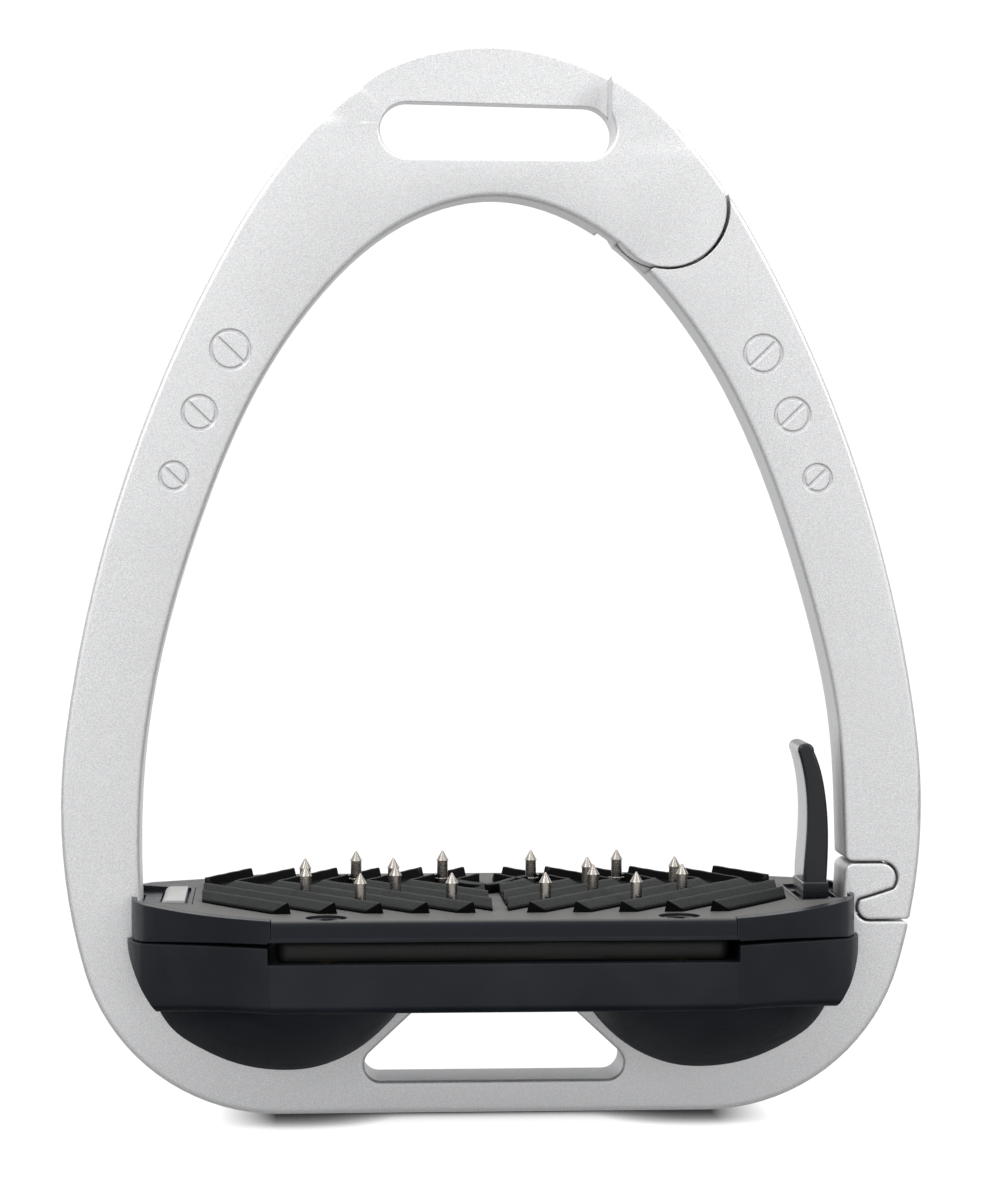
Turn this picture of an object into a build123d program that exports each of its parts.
from build123d import *
import os
import math

# Safety-release stirrup iron, millimetres.
# X runs along the tread, Y is the depth (front face at -Y), +Z is up.
# Origin: centre of the flat underside, on the frame's mid-plane.
# Round numbers well outside a part only carry a cutting block past it.

# ---------------------------------------------------------------- shared dimensions
HALF_T = 12.0 / 2         # half of the frame thickness in Y
FAR_X = 90.0              # reach of cutting blocks past the sides
FAR_Y = 60.0              # reach of cutting blocks past the footbed's front and rear
TOL = 0.01                # tolerance of the edge selectors

PIVOT_X, PIVOT_Z = 29.2, 153.5
LAP_GAP = 0.30            # half of the gap between the two half-lap faces
PIN_R = 3.0
PIN_Y0, PIN_Y1 = -4.4, 4.2
BUSH_R = 4.0

BEAM_TOP = 29.3           # top of the frame's cross beam
LUG_X0, LUG_X1 = 51.9, 60.4
LUG_HALF_Y = 10.5
LUG_TOP = 35.1            # the lugs stay hidden under the carrier
LEVER_PIN = (55.0, 33.2)  # x, z
LEVER_PIN_R = 1.25
SPRING_X = 61.3
DOWEL_X, DOWEL_Z = 35.0, 23.4
DOWEL_R = 2.0
BORE_FIT = 0.02           # radial clearance of dowels, pins and studs in their bores

TREAD_TOP = 36.4
TREAD_T = 2.9
TREAD_HALF_Y = 33.0
TREAD_BOTTOM = TREAD_TOP - TREAD_T
END_RISE = 0.9            # upward sweep of the tread's ends
CUSHION_HOLE_R = 1.75     # clearance round the tread screws and round the studs in the pads
SCREW_POS = [(x, y) for y in (-28.9, 28.9) for x in (-28.8, 28.8)]

os.makedirs("parts", exist_ok=True)


# ---------------------------------------------------------------- helpers
def vectors(points, y=0):
    return [Vector(x, y, z) for x, z in points]


def xz_face(points):
    """Closed polygon in the XZ plane at Y = 0."""
    return Face(Wire(Polyline(vectors(points), close=True).edges()))


def run_edge(points):
    """A line through two points or an arc through three."""
    return Line(*points) if len(points) == 2 else ThreePointArc(*points)


def runs_face(runs):
    """XZ face bounded by runs of two (line) or three (arc) points."""
    return Face(Wire([run_edge(vectors(run)) for run in runs]))


def mirrored_face(half):
    """XZ face from the runs of its right half, closed by straight lines across X = 0."""
    left = [[(-x, z) for x, z in run[::-1]] for run in half[::-1]]
    runs = half + [[half[-1][-1], left[0][0]]] + left
    if half[0][0][0] > 0:
        runs.insert(0, [left[-1][-1], half[0][0]])
    return runs_face(runs)


def four_way_face(quarter):
    """XY face from one quarter's runs, mirrored in X and Y and joined by straight lines."""
    x, y = quarter[0][0]
    end = Vector(-x, -y, 0)
    edges = []
    for sx, sy in ((1, -1), (1, 1), (-1, 1), (-1, -1)):
        runs = [[Vector(sx * x, sy * y, 0) for x, y in run] for run in quarter]
        if sx == sy:
            runs = [run[::-1] for run in runs[::-1]]
        edges.append(Line(end, runs[0][0]))
        edges += [run_edge(run) for run in runs]
        end = runs[-1][-1]
    return Face(Wire(edges))


def prism_y(face, y0, y1):
    """Extrude an XZ face (at Y = 0) from y0 to y1."""
    return extrude(Pos(0, y0, 0) * face, amount=y1 - y0, dir=(0, 1, 0))


def prism_z(face, z0, z1):
    """Extrude an XY face (at Z = 0) from z0 to z1."""
    return extrude(Pos(0, 0, z0) * face, amount=z1 - z0, dir=(0, 0, 1))


def xy_prism(points, z0, z1):
    wire = Wire(Polyline([Vector(x, y, 0) for x, y in points], close=True).edges())
    return prism_z(Face(wire), z0, z1)


def cyl_y(x, z, r, y0, y1):
    return Pos(x, (y0 + y1) / 2, z) * Rot(90, 0, 0) * Cylinder(r, abs(y1 - y0))


def cyl_z(x, y, r, z0, z1):
    return Pos(x, y, (z0 + z1) / 2) * Cylinder(r, abs(z1 - z0))


def pivot_cyl(r, y0, y1):
    return cyl_y(PIVOT_X, PIVOT_Z, r, y0, y1)


def box(x0, x1, y0, y1, z0, z1):
    """Box between two corners, whose coordinates may come in either order."""
    centre = Pos((x0 + x1) / 2, (y0 + y1) / 2, (z0 + z1) / 2)
    return centre * Box(abs(x1 - x0), abs(y1 - y0), abs(z1 - z0))


def mid_box(x0, x1, half_y, z0, z1):
    """Box centred on the mid-plane Y = 0."""
    return box(x0, x1, -half_y, half_y, z0, z1)


def largest(shape):
    return max(shape.solids(), key=lambda solid: solid.volume)


def flat_at(edge, half_y):
    """True for an edge lying in the plane Y = +half_y or Y = -half_y."""
    on_plane = abs(abs(edge.center().Y) - half_y) < TOL
    return on_plane and edge.bounding_box().size.Y < TOL


def group(solids):
    return Compound(children=list(solids))


# ---------------------------------------------------------------- bow
# Outer contour: tangent arcs from the crown down the right flank to the flat
# underside, as (radius, length along the arc). The last one ends level.
CROWN_Z = 180.48
OUTER_ARCS = [(41.841, 34.7594), (98.951, 21.5838), (229.927, 90.4453),
              (97.533, 40.1613), (34.073, None)]
# Inner contour, right side, from the crown down: (x, z).
INNER = [(0, 155.2), (15.7, 150.7), (30.5, 137.5), (40.7, 122.0), (49.5, 101.3),
         (55.8, 80.5), (59.3, 59.8), (59.95, 44.2), (59.8, 38.0)]
INNER_FOOT_X = 59.5       # half width of the opening at the beam
EDGE_R = 0.9              # rounding of the long frame edges
OPENING_R = 0.6           # rounding of the window and slot edges

WINDOW = [(26.5, 5.5), (10.85, 20.0), (-10.85, 20.0), (-26.5, 5.5)]   # x, z
WINDOW_LOW_R, WINDOW_HIGH_R = 2.84, 2.0

EYE_W = 39.8              # leather slot length
EYE_H = 9.4               # leather slot height
EYE_X = 0.4               # leather slot centre
EYE_Z = 166.4


def outer_runs():
    """Start, middle and end (x, z) of each outer arc, right side, underside at Z = 0."""
    x, z, heading = 0.0, CROWN_Z, 0.0
    runs = []
    for radius, length in OUTER_ARCS:
        turn = math.pi + heading if length is None else length / radius
        run = []
        for fraction in (0.0, 0.5, 1.0):
            angle = heading - turn * fraction
            run.append((x + radius * (math.sin(heading) - math.sin(angle)),
                        z - radius * (math.cos(heading) - math.cos(angle))))
        runs.append(run)
        x, z = run[-1]
        heading -= turn
    bottom = z
    return [[(x, z - bottom) for x, z in run] for run in runs]


def bow_blank():
    """The closed bow with its large opening and rounded long edges."""
    blank = prism_y(mirrored_face(outer_runs()), -HALF_T, HALF_T)
    blank = fillet([e for e in blank.edges() if flat_at(e, HALF_T)], EDGE_R)

    side_x, side_z = INNER[-1]
    arch = [(-x, z) for x, z in reversed(INNER)] + INNER[1:]
    foot = [(side_x, side_z), (INNER_FOOT_X, BEAM_TOP), (-INNER_FOOT_X, BEAM_TOP),
            (-side_x, side_z)]
    opening = Face(Wire([
        Spline(vectors(arch), tangents=[Vector(-0.04, 0, 1), Vector(-0.04, 0, -1)]),
        *[Line(*vectors(pair)) for pair in zip(foot, foot[1:])]]))
    ring = blank - prism_y(opening, -HALF_T - 1, HALF_T + 1)
    return fillet([e for e in ring.edges() if e.geom_type == GeomType.BSPLINE
                   and flat_at(e, HALF_T) and e.center().Z > 90], EDGE_R)


def cut_window(ring):
    """Lower window in the base: sloping sides and rounded corners."""
    window = prism_y(xz_face(WINDOW), -HALF_T - 1, HALF_T + 1)
    window = fillet([e for e in window.edges().filter_by(Axis.Y) if e.center().Z < 10],
                    WINDOW_LOW_R)
    window = fillet([e for e in window.edges().filter_by(Axis.Y) if e.center().Z > 15],
                    WINDOW_HIGH_R)
    ring = ring - window
    return fillet([e for e in ring.edges() if flat_at(e, HALF_T)
                   and abs(e.center().X) < 26 and 5.0 < e.center().Z < 20.5], OPENING_R)


def cut_eye(ring):
    """Leather slot with full-round ends and softened edges."""
    end_r = EYE_H / 2
    end_x = (EYE_W - EYE_H) / 2
    eye = (mid_box(-end_x, end_x, 9, EYE_Z - end_r, EYE_Z + end_r)
           + cyl_y(-end_x, EYE_Z, end_r, -9, 9) + cyl_y(end_x, EYE_Z, end_r, -9, 9))
    ring = ring - Pos(EYE_X, 0, 0) * eye
    ring = fillet([e for e in ring.edges() if flat_at(e, HALF_T)
                   and abs(e.center().X) < 21.5
                   and EYE_Z - end_r - 0.1 < e.center().Z < EYE_Z + end_r + 0.1], OPENING_R)

    # Diagonal eye bar: relieved at the front right and at the rear left so that
    # the leather hangs flat while the iron stands square to the horse.
    bar_z, above = EYE_Z + 1.0, 186
    front, rear = -HALF_T - 2, HALF_T + 2
    front_relief = xy_prism(
        [(-23.0, front), (19.6, front), (19.6, 0.9), (18.2, 1.0), (-23.0, -6.0)], bar_z, above)
    rear_relief = xy_prism(
        [(22.4, rear), (-19.4, rear), (-19.4, -0.9), (-18.0, -1.0), (22.4, 6.0)], bar_z, above)
    return ring - front_relief - rear_relief


# ---------------------------------------------------------------- frame / arm division
LOCK_ARC_R = 122.1              # separation arc of tongue and hook about the pivot
HALF_LOCK_GAP = 0.45 / 2        # half of the gap between the arm's hook and the frame's tongue
TONGUE_X, TONGUE_Z = 66.2, 39.58    # rounded end of the frame's tongue
TONGUE_HALF = 2.72
HOOK_X, HOOK_Z = 64.2, 34.6     # rounded end of the arm's hook
HOOK_HALF = 2.255
JOINT_Z = 32.35                 # outer joint line below the hook
FOOT_X = 40.0                   # the lock zone starts here
SPLIT_DX, SPLIT_DZ = 0.82, 0.57     # dividing line across the bow through the pivot
LIMB_DX, LIMB_DZ = 0.57, -0.8216    # run of the bow at the pivot, pointing down the arm
LOBE_R = 10.0                   # front half-lap plate of the fixed frame
LAP_TONGUE_R = 10.4             # rear half-lap tongue of the arm
REAR_SOCKET_R = 12.2            # rear clearance cut in the fixed frame


def frame_claim(grow):
    """Everything the fixed frame keeps at the foot of the arm, grown by a margin."""
    top = TONGUE_Z + TONGUE_HALF + grow
    tongue = (mid_box(FOOT_X, TONGUE_X, 10, TONGUE_Z - 4.2, top)
              + cyl_y(TONGUE_X, TONGUE_Z, TONGUE_HALF + grow, -10, 10)
              + mid_box(FOOT_X, TONGUE_X, 10, TONGUE_Z - TONGUE_HALF - 1.4, TONGUE_Z))
    tongue = tongue & pivot_cyl(LOCK_ARC_R + grow, -11, 11)
    cheek = (mid_box(FOOT_X, HOOK_X, 10, 30, HOOK_Z + HOOK_HALF)
             - cyl_y(HOOK_X, HOOK_Z, HOOK_HALF - grow, -11, 11)
             - (mid_box(HOOK_X - 1.7, HOOK_X + 1, 11, HOOK_Z, HOOK_Z + 3)
                - pivot_cyl(LOCK_ARC_R + grow, -12, 12)))
    base = mid_box(-FAR_X, FAR_X, 10, -5, JOINT_Z + grow)
    left = mid_box(-FAR_X, FOOT_X + 0.1, 10, -5, 190)
    return tongue + cheek + base + left


def divide(ring):
    """Split the bow into the fixed frame and the right-hand arm between pivot and lock."""
    inner_end = (PIVOT_X - SPLIT_DX * 40, PIVOT_Z - SPLIT_DZ * 40)
    outer_x, outer_z = PIVOT_X + SPLIT_DX * 60, PIVOT_Z + SPLIT_DZ * 60
    arm_side = prism_y(xz_face([inner_end, (outer_x, outer_z), (outer_x + 150, outer_z - 30),
                                (120, 20), (FOOT_X + 0.1, 20), (20, 100)]), -10, 10)
    foot_zone = mid_box(FOOT_X, FAR_X, 12, -5, 60)

    arm = ring & arm_side
    arm = arm - (frame_claim(HALF_LOCK_GAP) & foot_zone)
    arm = arm - mid_box(-FAR_X, FAR_X, 12, -10, 25)

    frame_foot = ring & (frame_claim(-HALF_LOCK_GAP) & foot_zone)
    joined = (ring - arm_side) - foot_zone + frame_foot
    pieces = sorted(joined.solids(), key=lambda solid: -solid.volume)
    frame = pieces[0]
    for piece in pieces[1:]:
        frame = frame + piece
    return frame, largest(arm)


def limb_point(along, across):
    """Point measured from the pivot along the limb and across it (outwards)."""
    return (PIVOT_X + along * LIMB_DX - across * LIMB_DZ,
            PIVOT_Z + along * LIMB_DZ + across * LIMB_DX)


def half_lap(ring, frame, arm):
    """The frame's round lobe in front, the arm's round tongue behind."""
    lobe = ring & pivot_cyl(LOBE_R, -HALF_T - 1, -LAP_GAP)
    frame = frame - pivot_cyl(REAR_SOCKET_R, -LAP_GAP, HALF_T + 2)
    frame = frame + lobe

    arm = arm - cyl_y(PIVOT_X + 0.12, PIVOT_Z + 0.10, LOBE_R + 0.5, -HALF_T - 1, LAP_GAP)
    inner_toe = [limb_point(*place) for place in ((-20, -3), (-20, -30), (7.0, -30), (7.0, -3))]
    arm = arm - prism_y(xz_face(inner_toe), -HALF_T - 1, LAP_GAP)
    arm = arm + (ring & pivot_cyl(LAP_TONGUE_R, LAP_GAP, HALF_T + 1))
    return frame, largest(arm)


def bite(part, face_z, x0, x1, low, high, centre_x, centre_dz, r):
    """Round a profile corner: remove the box outside the circle. Heights are from face_z."""
    corner = mid_box(x0, x1, 7, face_z + low, face_z + high)
    return part - (corner - cyl_y(centre_x, face_z + centre_dz, r, -8, 8))


def round_lock_corners(frame, arm):
    tongue_top = TONGUE_Z + TONGUE_HALF
    arm = bite(arm, tongue_top + HALF_LOCK_GAP, 58.5, 61.57, -0.5, 1.62, 61.57, 1.62, 1.70)
    frame = bite(frame, tongue_top - HALF_LOCK_GAP, 58.5, 61.85, -1.95, 0.5, 61.85, -1.95, 2.05)
    arm = bite(arm, JOINT_Z + HALF_LOCK_GAP, 70.3, 73.0, -0.5, 0.82, 70.3, 1.02, 1.10)
    frame = bite(frame, JOINT_Z - HALF_LOCK_GAP, 69.8, 73.0, -1.22, 0.5, 69.8, -1.02, 1.10)
    return frame, arm


# ---------------------------------------------------------------- frame and arm details
# Engraved rings: (x, z, diameter).
FRAME_RINGS = [(-44.6, 129.25, 6.95), (-49.8, 118.65, 6.1), (-54.1, 108.0, 5.1)]
ARM_RINGS = [(45.5, 128.85, 6.8), (50.6, 118.5, 6.25), (54.9, 107.8, 5.1)]
RING_ANGLE = 44
RING_DEPTH = 0.28
RING_GROOVE = 0.5         # width of the groove and of its slot


def engrave(part, rings, angle):
    """Ring grooves with a diagonal slot across each, on both faces."""
    for x, z, dia in rings:
        for side in (-1, 1):
            floor, outside = side * (HALF_T - RING_DEPTH), side * (HALF_T + 1)
            groove = (cyl_y(x, z, dia / 2, floor, outside)
                      - cyl_y(x, z, dia / 2 - RING_GROOVE, floor - side, outside + side))
            slot = (Pos(x, (floor + outside) / 2, z) * Rot(0, angle, 0)
                    * Box(dia - 0.6, abs(outside - floor), RING_GROOVE))
            part = part - (groove + slot)
    return part


def main_frame(frame):
    """Add the pivot bore, engraving, lever lugs, latch tunnel, spring well and dowel bores."""
    frame = frame - pivot_cyl(PIN_R + BORE_FIT, PIN_Y0 - 0.1, 0)
    frame = engrave(frame, FRAME_RINGS, RING_ANGLE)
    for side in (-1, 1):
        lug = mid_box(side * LUG_X0, side * LUG_X1, LUG_HALF_Y, BEAM_TOP + 0.35, LUG_TOP)
        lug = fillet(lug.edges().filter_by(Axis.X), 0.7)
        root = mid_box(side * LUG_X0, side * (LUG_X1 - 0.3), 5.6, BEAM_TOP - 1.2, BEAM_TOP + 2.0)
        frame = frame + lug + root
    slot_z = 27.4
    tunnel_x = 66.1
    # lever slot
    frame = frame - mid_box(LUG_X0 + 0.6, LUG_X1 - 1.6, 6.1, slot_z, LUG_TOP + 2)
    # lever heel room
    frame = frame - mid_box(LUG_X0 - 1.6, LUG_X0 + 1.2, 3.2, slot_z, 31.0)
    # latch arm tunnel and the opening above its outer end
    frame = frame - mid_box(LUG_X0 + 1.4, tunnel_x, 2.9, 27.2, 31.9)
    frame = frame - mid_box(62.3, tunnel_x, 2.9, 31.8, 32.4)
    # spring well
    frame = frame - cyl_z(SPRING_X, 0, 2.35, 22.5, 27.6)
    frame = frame - cyl_y(*LEVER_PIN, LEVER_PIN_R + BORE_FIT, -9.6, 9.6)
    # blind well in the left lug
    frame = frame - mid_box(-56.4, -52.6, 9.4, 33.0, LUG_TOP + 2)
    for x in (-DOWEL_X, DOWEL_X):
        frame = frame - cyl_y(x, DOWEL_Z, DOWEL_R + BORE_FIT, -7, 7)
    return largest(frame)


def release_arm(arm):
    """Add the bush and screw-head bores, the engraving and the latch notch."""
    arm = arm - pivot_cyl(BUSH_R + 0.02, 0, 4.3) - pivot_cyl(4.9, PIN_Y1, HALF_T + 1)
    arm = engrave(arm, ARM_RINGS, -RING_ANGLE)
    # notch for the latch nose in the hook's underside
    arm = arm - mid_box(62.9, 65.6, 2.9, 30, 33.7)
    return largest(arm)


# ---------------------------------------------------------------- pivot hardware
def pivot_screw():
    head_y0, head_y1 = PIN_Y1 + 0.1, 5.7
    screw = pivot_cyl(PIN_R, PIN_Y0, head_y0) + pivot_cyl(4.6, head_y0, head_y1)
    screw = chamfer([e for e in screw.edges() if abs(e.center().Y - head_y1) < TOL], 0.35)
    socket_plane = Plane(origin=(PIVOT_X, 6, PIVOT_Z), x_dir=(1, 0, 0), z_dir=(0, -1, 0))
    return screw - extrude(socket_plane * RegularPolygon(1.75, 6), amount=1.5)


def pivot_bush():
    return (pivot_cyl(BUSH_R, LAP_GAP + 0.02, PIN_Y1 - 0.02)
            - pivot_cyl(PIN_R + 0.04, -1, 6))


def pivot_washer():
    half = LAP_GAP - 0.04
    return pivot_cyl(10.05, -half, half) - pivot_cyl(PIN_R + 0.05, -1, 1)


# ---------------------------------------------------------------- release lever
LEVER_HALF_Y = 5.5
# Blade profile, (x, z): left side downwards, right side upwards, then over the tip.
BLADE_LEFT = [(52.0, 60.9), (52.75, 58.0), (53.2, 55.2), (53.45, 51.2), (53.3, 46.0),
              (53.0, 42.2), (52.95, 38.6)]
BLADE_RIGHT = [(56.9, 38.6), (57.15, 44.0), (57.1, 49.2), (56.6, 54.3), (55.8, 58.2),
               (54.7, 61.2)]
BLADE_TIP = [BLADE_RIGHT[-1], (53.4, 62.65), (52.2, 62.3), BLADE_LEFT[0]]
# Latch arm profile with its raised nose at the outer end, (x, z).
LATCH = [(53.4, 32.0), (53.4, 28.6), (54.6, 27.9), (65.1, 28.7), (65.3, 29.2), (65.3, 32.0),
         (64.9, 32.42), (63.3, 32.42), (63.1, 32.0), (63.1, 31.2), (56.9, 31.2), (56.9, 32.0)]


def release_lever():
    blade = prism_y(Face(Wire([
        Spline(vectors(BLADE_LEFT)), Line(*vectors([BLADE_LEFT[-1], BLADE_RIGHT[0]])),
        Spline(vectors(BLADE_RIGHT)), Spline(vectors(BLADE_TIP))])), -LEVER_HALF_Y, LEVER_HALF_Y)
    blade = fillet([e for e in blade.edges()
                    if abs(abs(e.center().Y) - LEVER_HALF_Y) < TOL and e.center().Z > 39], 0.6)
    root = mid_box(53.1, 56.9, LEVER_HALF_Y, 31.4, 38.0)
    collar = mid_box(52.8, 57.2, 5.65, 36.35, 38.85)
    collar = chamfer([e for e in collar.edges() if e.center().Z > 38.8], 0.15)
    hub = cyl_y(*LEVER_PIN, 1.9, -LEVER_HALF_Y, LEVER_HALF_Y)
    latch = prism_y(xz_face(LATCH), -2.6, 2.6)
    return blade + root + collar + hub + latch - cyl_y(*LEVER_PIN, LEVER_PIN_R + 0.04, -9, 9)


def return_spring():
    """Open helix under the latch arm."""
    z0, z1 = 22.6, 28.0
    path = Pos(SPRING_X, 0, z0 + 0.3) * Helix(pitch=1.15, height=z1 - z0 - 0.62, radius=1.65)
    return sweep(Plane(origin=path @ 0, z_dir=path % 0) * Circle(0.26), path=path)


# ---------------------------------------------------------------- footbed housing
HOUSING_Z0, HOUSING_Z1 = 21.3, BEAM_TOP
END_X = 70.0              # the end profiles run out to here
# Parting line of the end caps: highest beside the cushion, falling towards the bow.
PART_UP = [(38.3, 32.65), (50.0, 31.95), (61.4, 30.55)]       # underside of the carrier's ends
PART_LOW = [(38.3, 31.95), (50.0, 31.45), (62.2, 30.25)]      # top of the housing's ends
# Underside of one pod from its outer to its inner end, left side: (x, z).
POD = [(-59.0, 23.6), (-58.3, 21.9), (-56.8, 18.2), (-54.2, 14.5), (-50.0, 11.6),
       (-45.1, 9.3), (-39.5, 7.9), (-35.2, 7.6), (-31.0, 7.95), (-27.9, 8.8), (-24.0, 10.6),
       (-20.4, 13.2), (-16.6, 17.4), (-14.6, 21.0), (-13.6, 23.6)]
POD_X, POD_Z = -16.5, 23.6      # point the pod sections shrink towards
# y, scale in X, scale in Z
POD_SECTIONS = [(-6.04, 1.0, 1.0), (-18.5, 0.84, 0.66), (-31.0, 0.55, 0.17)]


def foot_solid(z0, z1, grow=0.0):
    """Plan outline of the footbed, extruded: straight front and back, angled ends."""
    corner = (38 - 0.3 * grow, 33 + grow)
    bend = (50.2 + 0.7 * grow, 24.4 + 0.7 * grow)
    shoulder = (58.6 + 0.85 * grow, 16.2 + 0.5 * grow)
    turn = (60.6 + grow, 11.2 + 0.2 * grow)
    end = (61.25 + grow, 5.0)
    return prism_z(four_way_face([[corner, bend, shoulder], [shoulder, turn, end]]), z0, z1)


def housing_body():
    """Both housing halves in one, without pods or pockets."""
    # Underside: level in the middle, dipping a little towards both ends.
    dip_x, dip_end, dip_z = 37.79, 59.195, 19.0
    above_underside = mirrored_face([
        [(dip_x, HOUSING_Z0), (48.3, HOUSING_Z0 - 0.60), (dip_end, dip_z)],
        [(dip_end, dip_z), (END_X, dip_z)],
        [(END_X, dip_z), (END_X, 40)]])
    body = foot_solid(15, 34, 0.7) & prism_y(above_underside, -FAR_Y, FAR_Y)
    body = fillet([e for e in body.edges() if e.bounding_box().max.Z < HOUSING_Z0 + 0.01
                   and abs(e.center().Y) > 20], 1.4)

    inner_x, end_z = PART_LOW[0][0], PART_LOW[-1][1]
    below_parting = mirrored_face([
        [(END_X, 15), (END_X, end_z)],
        [(END_X, end_z), PART_LOW[-1]],
        PART_LOW[::-1],
        [PART_LOW[0], (inner_x, HOUSING_Z1)]])
    body = body & prism_y(below_parting, -FAR_Y, FAR_Y)
    for side in (1, -1):
        # room for the lugs
        body = body - mid_box(side * 50.9, side * 60.8, 10.9, BEAM_TOP - 0.1, 60)

    # The ends draw in towards the pods below.
    top, waist, foot = (62.3, 31.5), (56.3, 19.2), (55.0, 17.6)
    far_low, far_top = (END_X, foot[1]), (END_X, top[1])
    end_cut = [[top, (60.7, 25.9), waist], [waist, foot], [foot, far_low],
               [far_low, far_top], [far_top, top]]
    for side in (-1, 1):
        outside = runs_face([[(side * x, z) for x, z in run] for run in end_cut])
        body = body - prism_y(outside, -FAR_Y, FAR_Y)
    return body


def front_left_pod():
    sections = []
    for y, scale_x, scale_z in POD_SECTIONS:
        points = vectors([(POD_X + (x - POD_X) * scale_x, POD_Z - (POD_Z - z) * scale_z)
                          for x, z in POD], y)
        sections.append(Wire([Spline(points), Line(points[-1], points[0])]))
    return Part() + Solid.make_loft(sections, False)


def hollow(shell, side):
    """Open pocket under the cushion with bosses left standing for the inserts."""
    y0, y1 = side * 8.4, side * 30.4
    wall_z, rib_top, boss_top = 20, 27.6, 31
    pocket = box(-36.0, 36.0, y0, y1, 23.8, HOUSING_Z1 + 1)
    pocket = (pocket - box(-36.4, -33.4, y0, y1, wall_z, boss_top)
              - box(33.4, 36.4, y0, y1, wall_z, boss_top))
    bosses = [(x, y) for x, y in SCREW_POS if y * side > 0]
    for x, y in bosses:
        pocket = (pocket - cyl_z(x, y, 4.0, 22, boss_top)
                  - box(x - 0.8, x + 0.8, y0, y1, wall_z, rib_top))
    pocket = pocket - box(-0.9, 0.9, y0, y1, wall_z, rib_top)
    shell = shell - pocket
    for x, y in bosses:
        shell = shell - cyl_z(x, y, 2.42, 23.9, HOUSING_Z1 + 1)
    for x in (-DOWEL_X, DOWEL_X):
        shell = shell - cyl_y(x, DOWEL_Z, DOWEL_R + BORE_FIT, side * 5.0, side * 20.2)
    return shell


def housing(body, pod, side):
    """Half of the housing with its two pods: side -1 is the front, +1 the rear."""
    half = body & box(-FAR_X, FAR_X, side * FAR_Y, side * (HALF_T + 0.04), 0, 60)
    if side > 0:
        pod = pod.mirror(Plane.XZ)
    return hollow(half + pod + pod.mirror(Plane.YZ), side)


def housing_dowels():
    return group([cyl_y(x, DOWEL_Z, DOWEL_R, -20.0, 20.0) for x in (-DOWEL_X, DOWEL_X)])


def threaded_inserts():
    return group([cyl_z(x, y, 2.4, 24.0, HOUSING_Z1 - 0.1) - cyl_z(x, y, 1.54, 20, 40)
                  for x, y in SCREW_POS])


# ---------------------------------------------------------------- cushion, tread, carrier
STUD_R = 1.0
STUD_TIP = 42.2
STUDS_LEFT = ([(x, y) for x in (-7.8, -23.0) for y in (-16.8, 16.8)]
              + [(x, y) for x in (-16.8, -32.0) for y in (-5.6, 5.6)])
STUDS_RIGHT = [(-x, y) for x, y in STUDS_LEFT]


def cushion_pad():
    cushion = mid_box(-37.4, 37.4, 31.2, HOUSING_Z1 + 0.03, 32.87)
    cushion = fillet(cushion.edges().filter_by(Axis.Z), 1.0)
    for x, y in SCREW_POS:
        cushion = cushion - cyl_z(x, y, CUSHION_HOLE_R, 20, 40)
    return cushion


def tread_face(grow=0.0):
    """Plan outline of the tread plate, with a notch in each end for the bow and lugs."""
    corner = (37.7 + grow, TREAD_HALF_Y + grow)
    step = (corner[0], 30.9 + grow)
    bend = (49.7 + 0.7 * grow, 22.0 + 0.7 * grow)
    tip = (58.9 + grow, 12.75)
    notch_mouth = (tip[0], 11.6 - grow)
    notch_floor = (50.9 + grow, notch_mouth[1])
    return four_way_face([[corner, step], [step, bend, tip], [tip, notch_mouth],
                          [notch_mouth, notch_floor]])


def swept_end(z):
    """Arc (x, z) by which a level surface at z sweeps up at the right end."""
    return [(43.0, z), (52.5, z + END_RISE / 4), (62.0, z + END_RISE)]


def raised_band(z_low, z_top):
    """Band level in the middle, whose ends sweep up by END_RISE, run through the depth."""
    upper, lower = swept_end(z_top), swept_end(z_low)
    far_top, far_low = (END_X, z_top + END_RISE), (END_X, z_low + END_RISE)
    return prism_y(mirrored_face([upper, [upper[-1], far_top], [far_top, far_low],
                                  [far_low, lower[-1]], lower[::-1]]), -40, 40)


def tread_plate():
    tread = prism_z(tread_face(), 30, 42) & raised_band(TREAD_BOTTOM, TREAD_TOP)
    tread = fillet([e for e in tread.edges() if e.bounding_box().size.Z < TOL
                    and abs(e.center().Z - TREAD_TOP) < TOL
                    and abs(abs(e.center().Y) - TREAD_HALF_Y) < TOL], 0.9)
    for x, y in SCREW_POS:
        tread = (tread - cyl_z(x, y, CUSHION_HOLE_R, 30, 40)
                 - cyl_z(x, y, 3.4, TREAD_TOP - 1.7, 40))
    for x, y in STUDS_LEFT + STUDS_RIGHT:
        tread = tread - cyl_z(x, y, STUD_R + BORE_FIT, 30, 40)
    return tread


def stud(x, y):
    """Stud with a shoulder collar and a pointed head slightly wider than the shank."""
    body = cyl_z(x, y, STUD_R, TREAD_BOTTOM + 0.1, TREAD_TOP + 0.5)
    body = body + cyl_z(x, y, STUD_R - 0.06, TREAD_TOP, STUD_TIP - 1.6)
    body = body + Pos(x, y, STUD_TIP - 0.85) * Cone(STUD_R + 0.08, 0.12, 1.7)
    return body + cyl_z(x, y, 1.42, TREAD_TOP + 0.02, TREAD_TOP + 1.0)


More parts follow.
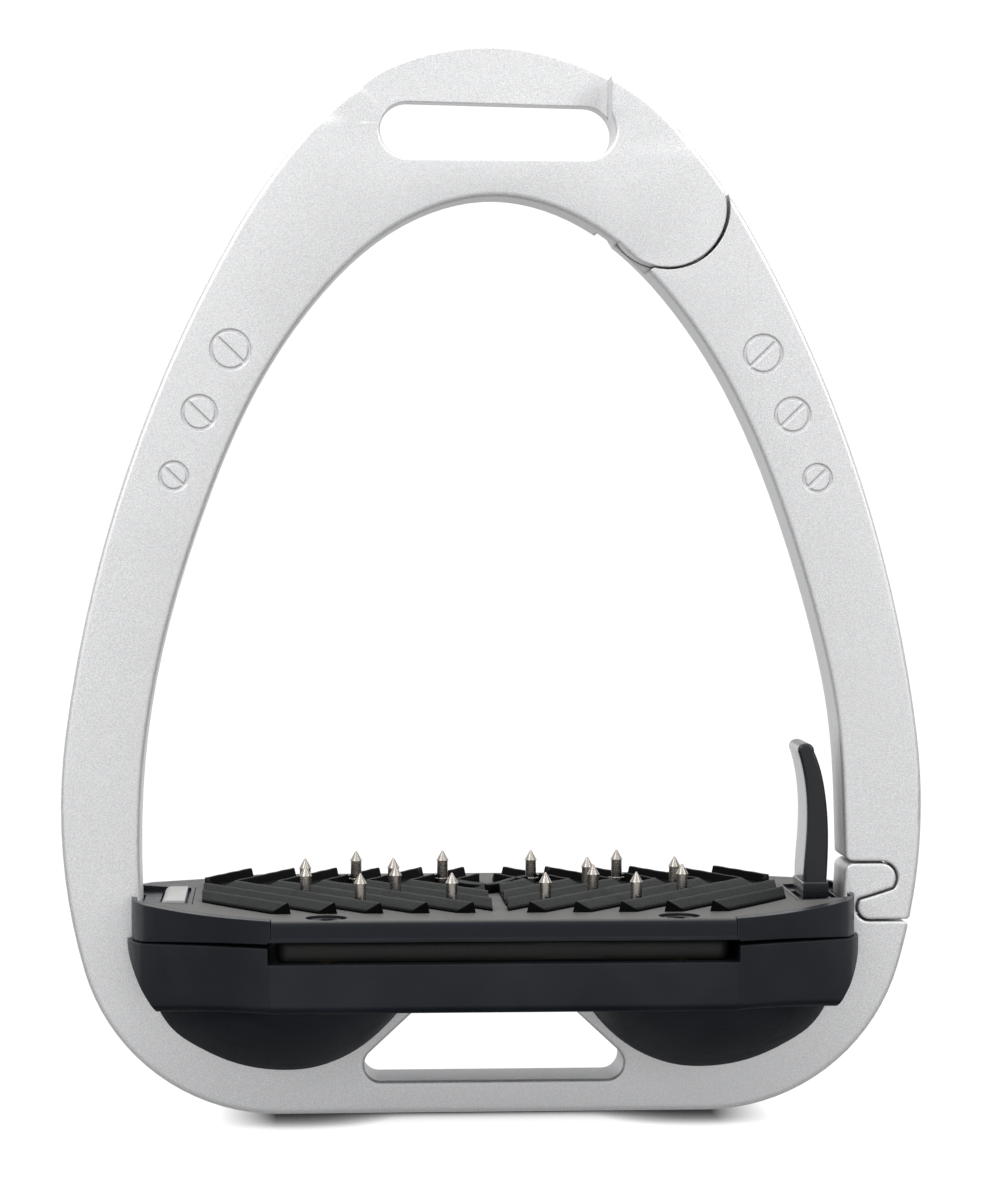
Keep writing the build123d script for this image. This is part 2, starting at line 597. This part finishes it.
def footbed_carrier():
    """Frame under and round the tread plate, with capped ends."""
    inner_x, end_z = PART_UP[0][0], PART_UP[-1][1]
    upper = swept_end(TREAD_TOP)
    far_top, far_low = (END_X, upper[-1][1]), (END_X, end_z)
    profile = mirrored_face([
        upper, [upper[-1], far_top], [far_top, far_low], [far_low, PART_UP[-1]],
        PART_UP[::-1], [PART_UP[0], (inner_x, 32.9)]])
    carrier = foot_solid(28, 45) & prism_y(profile, -FAR_Y, FAR_Y)
    pocket_z = TREAD_BOTTOM - 0.02
    pocket = prism_z(tread_face(0.12), pocket_z, pocket_z + 20)
    carrier = carrier - (pocket & raised_band(TREAD_BOTTOM - 0.03, 50))
    for side in (-1, 1):
        # room for the lug, passage for the bow, sunk window in the top
        carrier = carrier - mid_box(side * 51.75, side * 60.6, 10.65, 20, 35.25)
        carrier = carrier - mid_box(side * 59.35, side * 80, 6.15, 20, 60)
        carrier = carrier - mid_box(side * 51.65, side * 60.3, 10.8, 36.0, 60)
    # openings for the lever and for the blanking plug
    carrier = carrier - mid_box(52.3, 59.0, 5.95, 20, 60)
    carrier = carrier - mid_box(-56.55, -52.0, 10.1, 20, 60)
    for side in (-1, 1):
        # the rims in front of and behind the tread
        carrier = carrier - box(-38.0, 38.0, side * 50, side * TREAD_HALF_Y, 33.4, 60)
    for x, y in SCREW_POS:
        carrier = carrier - cyl_z(x, y, CUSHION_HOLE_R, 20, 40)
    return carrier


def tread_screw(x, y):
    head_top = TREAD_TOP - 0.35
    screw = (cyl_z(x, y, 1.5, 24.4, TREAD_TOP - 1.6)
             + cyl_z(x, y, 3.0, TREAD_TOP - 1.66, head_top))
    screw = chamfer([e for e in screw.edges() if abs(e.center().Z - head_top) < TOL], 0.3)
    return screw - (Pos(x, y, head_top) * extrude(RegularPolygon(1.15, 6), amount=1.6, both=True))


# ---------------------------------------------------------------- grip pads
PAD_X0, PAD_X1 = -49.4, -1.3          # left pad
PAD_FRONT, PAD_REAR = -24.0, 26.2
PAD_Z0 = TREAD_TOP + 0.02
RIB_X0 = -59.1            # crest of the first rib at the fold line
RIB_COUNT = 9
RIB_PITCH = 7.58          # spacing of the grip ribs along X
RIB_FOLD_Y = 7.8          # where the long front legs meet the short rear legs
RIB_FRONT, RIB_REAR = 0.76, 0.549   # run in X for each millimetre of depth
RIB_HIGH = 1.83
# Rib section: (x from the crest line, z above the pad's underside).
RIB_SECTION = [(-2.7, 0), (-2.7, 0.32), (-0.14, RIB_HIGH), (0.02, RIB_HIGH - 0.12), (0.4, 0)]
# Thin web under the ribs: (x, y).
WEB = [(PAD_X0, -5.8), (-43.6, -14.0), (-43.6, -15.0), (PAD_X1, -15.0), (PAD_X1, 20.0),
       (-44.0, 20.0), (PAD_X0, 11.0)]
# Centre line of the low curved rib across the middle: (x, y).
BRIDGE = [(-6.2, 7.6), (-4.6, 4.6), (-3.0, 2.6), (-1.2, 1.9), (0.6, 3.2), (2.2, 6.2),
          (4.0, 10.0), (6.6, 13.8)]
BRIDGE_HALF = 0.6


def rib_leg(crest_x, run, y_end):
    """A wedge that climbs towards +X and drops steeply, from the fold line to y_end."""
    face = xz_face([(crest_x + x, PAD_Z0 + z) for x, z in RIB_SECTION])
    face = Pos(0, RIB_FOLD_Y, 0) * face
    depth = y_end - RIB_FOLD_Y
    slant = math.hypot(run, 1.0)
    leg = extrude(face, amount=(abs(depth) + 4) * slant,
                  dir=(run / slant, math.copysign(1.0, depth) / slant, 0))
    return leg & box(PAD_X0, PAD_X1, RIB_FOLD_Y, y_end, PAD_Z0 - 1, PAD_Z0 + 4)


def pad_blank():
    """Left pad without its share of the bridge."""
    pad = xy_prism(WEB, PAD_Z0, PAD_Z0 + 0.36)
    for k in range(RIB_COUNT):
        crest_x = RIB_X0 + RIB_PITCH * k
        if k < RIB_COUNT - 1:
            pad = pad + rib_leg(crest_x, RIB_FRONT, PAD_FRONT)
        if k > 0:
            pad = pad + rib_leg(crest_x, RIB_REAR, PAD_REAR)
    for x, y in STUDS_LEFT:
        pad = pad - cyl_z(x, y, CUSHION_HOLE_R, 30, 45)
    return largest(pad)


def bridge_rib():
    """The low curved rib that links the two pads across the middle."""
    left, right = [], []
    for i, (x, y) in enumerate(BRIDGE):
        x0, y0 = BRIDGE[max(i - 1, 0)]
        x1, y1 = BRIDGE[min(i + 1, len(BRIDGE) - 1)]
        length = math.hypot(x1 - x0, y1 - y0)
        off_x = BRIDGE_HALF * (y1 - y0) / length
        off_y = BRIDGE_HALF * (x1 - x0) / length
        left.append((x - off_x, y + off_y))
        right.append((x + off_x, y - off_y))
    return xy_prism(left + right[::-1], PAD_Z0, PAD_Z0 + 1.7)


def grip_pads():
    blank, bridge = pad_blank(), bridge_rib()
    right = blank.mirror(Plane.YZ) + (bridge & box(PAD_X1 + 0.03, 20, -5, 20, 30, 45))
    left = blank + (bridge & box(-20, PAD_X1, -5, 20, 30, 45))
    # the undersides follow the plate where it sweeps up
    seat = raised_band(TREAD_TOP - 2, PAD_Z0)
    return left - seat, right - seat


# ---------------------------------------------------------------- blanking plug
def blanking_plug():
    """Plug in the left lug's blind well."""
    plug = mid_box(-56.25, -52.25, 9.95, LUG_TOP + 0.06, 37.0)
    plug = fillet([e for e in plug.edges().filter_by(Axis.Y)
                   if e.center().X < -56 and e.center().Z > 36], 1.2)
    return plug + mid_box(-56.2, -52.8, 9.2, 33.1, LUG_TOP + 0.5)


# ---------------------------------------------------------------- build and export
ring = cut_eye(cut_window(bow_blank()))
frame, arm = divide(ring)
frame, arm = half_lap(ring, frame, arm)
frame, arm = round_lock_corners(frame, arm)
body, pod = housing_body(), front_left_pod()
pad_left, pad_right = grip_pads()

pieces = {
    "main_frame": main_frame(frame),
    "release_arm": release_arm(arm),
    "arm_pivot_screw": pivot_screw(),
    "arm_pivot_bush": pivot_bush(),
    "arm_pivot_washer": pivot_washer(),
    "release_lever": release_lever(),
    "lever_pin": cyl_y(*LEVER_PIN, LEVER_PIN_R, -9.4, 9.4),
    "lever_return_spring": return_spring(),
    "housing_front": housing(body, pod, -1),
    "housing_rear": housing(body, pod, +1),
    "housing_dowels": housing_dowels(),
    "threaded_inserts": threaded_inserts(),
    "cushion_pad": cushion_pad(),
    "footbed_carrier": footbed_carrier(),
    "tread_plate": tread_plate(),
    "grip_pad_left": pad_left,
    "grip_pad_right": pad_right,
    "studs_left": group([stud(x, y) for x, y in STUDS_LEFT]),
    "studs_right": group([stud(x, y) for x, y in STUDS_RIGHT]),
    "tread_screws": group([tread_screw(x, y) for x, y in SCREW_POS]),
    "blanking_plug": blanking_plug(),
}
for name, piece in pieces.items():
    piece.label = name
    export_step(piece, f"parts/{name}.step")
